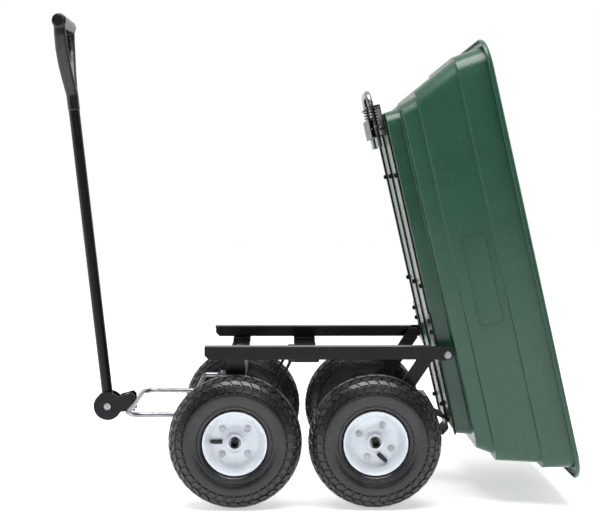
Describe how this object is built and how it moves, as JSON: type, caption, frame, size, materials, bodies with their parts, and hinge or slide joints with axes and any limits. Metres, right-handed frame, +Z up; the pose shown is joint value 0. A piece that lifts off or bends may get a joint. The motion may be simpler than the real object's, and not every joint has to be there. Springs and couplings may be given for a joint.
{
  "type": "garden dump cart",
  "caption": "Garden cart with a moulded green tub that tips back on hinges, pneumatic wheels, linked steering, a sprung tub latch and a folding pull handle with a D grip.",
  "frame": {"origin": "centre of the cart's footprint box at ground level, with the tub tipped as stored", "axes": "+Z up, +X from the pull handle towards the tipping end, +Y to the cart's right when pulled"},
  "size_m": [1.0192, 0.5, 0.951],
  "materials": {
    "green_plastic": "satin moulded",
    "black_paint": "satin powder coat",
    "zinc": "bright zinc plate",
    "tyre": "matt rubber",
    "rim_paint": "gloss white paint",
    "bearing": "oiled sintered metal",
    "valve_rubber": "matt rubber",
    "grip_plastic": "satin moulded"
  },
  "bodies": {
    "chassis": {"side_rail_left": "black_paint", "side_rail_right": "black_paint", "rear_brace_left": "black_paint", "rear_brace_right": "black_paint", "front_bolster": "black_paint", "mid_crossbrace": "black_paint", "lower_bar": "black_paint", "kingpins": "black_paint", "front_brace_rods": "black_paint", "rear_axle": "black_paint", "rear_push_nuts": "zinc", "rear_beam": "black_paint", "rear_stop": "black_paint", "frame_bolts": "zinc", "hinge_bolts": "zinc"},
    "tub": {"tub_shell": "green_plastic", "floor_bars": "black_paint", "hinge_bracket_left": "black_paint", "hinge_bracket_right": "black_paint", "latch_bracket": "black_paint", "tub_bolts": "black_paint", "latch_springs": "black_paint"},
    "latch_handle": {"latch_rod": "zinc", "latch_collars": "zinc"},
    "knuckle_left": {"knuckle_left": "black_paint", "front_push_nut_left": "zinc"},
    "knuckle_right": {"knuckle_right": "black_paint", "front_push_nut_right": "zinc"},
    "drawbar": {"drawbar_rod": "zinc", "link_pins": "zinc", "clevis": "black_paint", "clevis_bolt": "zinc"},
    "handle": {"handle_foot": "black_paint", "handle_tube": "black_paint", "handle_grip": "grip_plastic"},
    "wheel_front_left": {"front_left_tyre": "tyre", "front_left_rim": "rim_paint", "front_left_hub": "rim_paint", "front_left_bushes": "bearing", "front_left_rim_bolts": "zinc", "front_left_valve_stem": "valve_rubber"},
    "wheel_front_right": {"front_right_tyre": "tyre", "front_right_rim": "rim_paint", "front_right_hub": "rim_paint", "front_right_bushes": "bearing", "front_right_rim_bolts": "zinc", "front_right_valve_stem": "valve_rubber"},
    "wheel_rear_left": {"rear_left_tyre": "tyre", "rear_left_rim": "rim_paint", "rear_left_hub": "rim_paint", "rear_left_bushes": "bearing", "rear_left_rim_bolts": "zinc", "rear_left_valve_stem": "valve_rubber"},
    "wheel_rear_right": {"rear_right_tyre": "tyre", "rear_right_rim": "rim_paint", "rear_right_hub": "rim_paint", "rear_right_bushes": "bearing", "rear_right_rim_bolts": "zinc", "rear_right_valve_stem": "valve_rubber"}
  },
  "joints": [
    {"name": "tub_tip", "type": "hinge", "parent": "chassis", "child": "tub", "pos_m": [0.2603, 0, 0.2892], "axis": [0, 1, 0], "range_deg": [-77.07, 0]},
    {"name": "latch_pull", "type": "slide", "parent": "tub", "child": "latch_handle", "axis": [-0.2238, 0, 0.9746], "range_m": [0, 0.014], "stiffness_N_per_m": 1500, "springref_m": -0.004, "deforming": ["latch_springs"]},
    {"name": "steer_left", "type": "hinge", "parent": "chassis", "child": "knuckle_left", "pos_m": [-0.1437, -0.1505, 0.127], "axis": [0, 0, 1], "range_deg": [-16, 16]},
    {"name": "steer_right", "type": "hinge", "parent": "chassis", "child": "knuckle_right", "pos_m": [-0.1437, 0.1505, 0.127], "axis": [0, 0, 1], "range_deg": [-16, 16]},
    {"name": "drawbar_swing", "type": "hinge", "parent": "knuckle_left", "child": "drawbar", "pos_m": [-0.1837, -0.1505, 0.2], "axis": [0, 0, 1], "range_deg": [-16, 16]},
    {"name": "handle_lift", "type": "hinge", "parent": "drawbar", "child": "handle", "pos_m": [-0.4118, 0, 0.1614], "axis": [0, 1, 0], "range_deg": [-90, 19]},
    {"name": "front_left_spin", "type": "hinge", "parent": "knuckle_left", "child": "wheel_front_left", "pos_m": [-0.1437, -0.2, 0.127], "axis": [0, 1, 0], "continuous": true},
    {"name": "front_right_spin", "type": "hinge", "parent": "knuckle_right", "child": "wheel_front_right", "pos_m": [-0.1437, 0.2, 0.127], "axis": [0, 1, 0], "continuous": true},
    {"name": "rear_left_spin", "type": "hinge", "parent": "chassis", "child": "wheel_rear_left", "pos_m": [0.1213, -0.2, 0.127], "axis": [0, 1, 0], "continuous": true},
    {"name": "rear_right_spin", "type": "hinge", "parent": "chassis", "child": "wheel_rear_right", "pos_m": [0.1213, 0.2, 0.127], "axis": [0, 1, 0], "continuous": true}
  ],
  "couplings": [
    {"joint": "steer_right", "follows": "steer_left", "ratio": 1},
    {"joint": "drawbar_swing", "follows": "steer_left", "ratio": -1}
  ]
}
